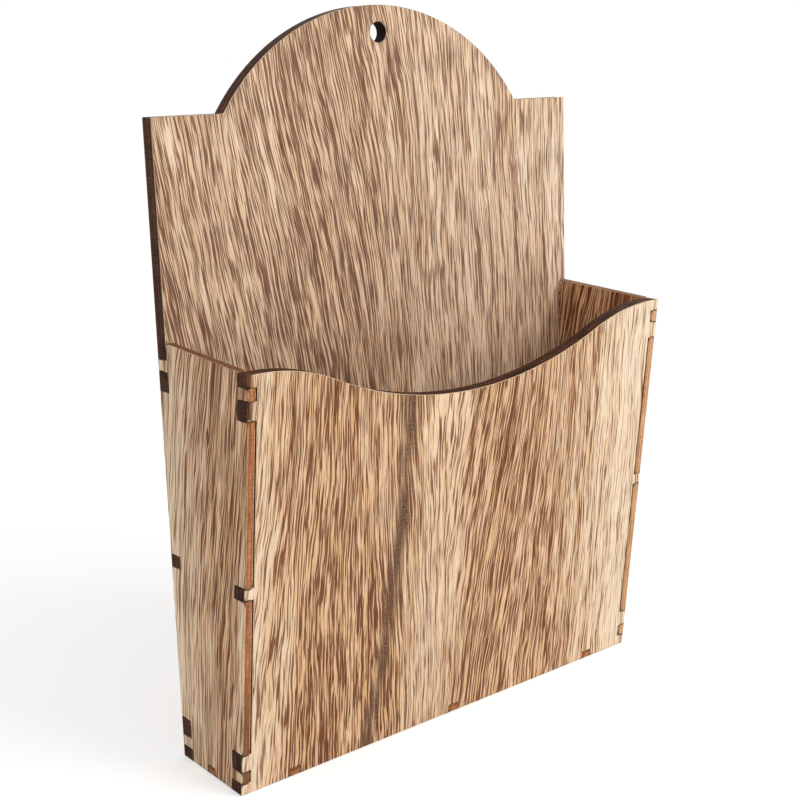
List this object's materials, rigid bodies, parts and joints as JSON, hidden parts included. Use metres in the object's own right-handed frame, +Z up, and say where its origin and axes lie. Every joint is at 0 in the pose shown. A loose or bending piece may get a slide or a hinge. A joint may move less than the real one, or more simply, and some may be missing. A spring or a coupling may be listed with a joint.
{
  "type": "wall magazine rack",
  "caption": "Wall-hung magazine pocket of finger-jointed sheet wood, with a tall arched back, a hanging hole, tapered sides and a leaning front with a scalloped top.",
  "frame": {"origin": "centre of the hanging hole, on the wall plane, which is the rear face of the back", "axes": "+X is right as seen from the front, +Y points into the wall, +Z is up"},
  "size_m": [0.216, 0.065, 0.3],
  "materials": {
    "back_wood": "streaked light-brown veneer, satin, with charred laser-cut edges",
    "front_wood": "streaked light-brown veneer, satin, with charred laser-cut edges",
    "side_wood": "streaked light-brown veneer, satin, with orange-brown cut edges",
    "floor_wood": "plain brown veneer, satin, with charred laser-cut edges"
  },
  "bodies": {
    "root": {"back_panel": "back_wood", "front_panel": "front_wood", "left_side": "side_wood", "right_side": "side_wood", "bottom_panel": "floor_wood"}
  },
  "joints": []
}
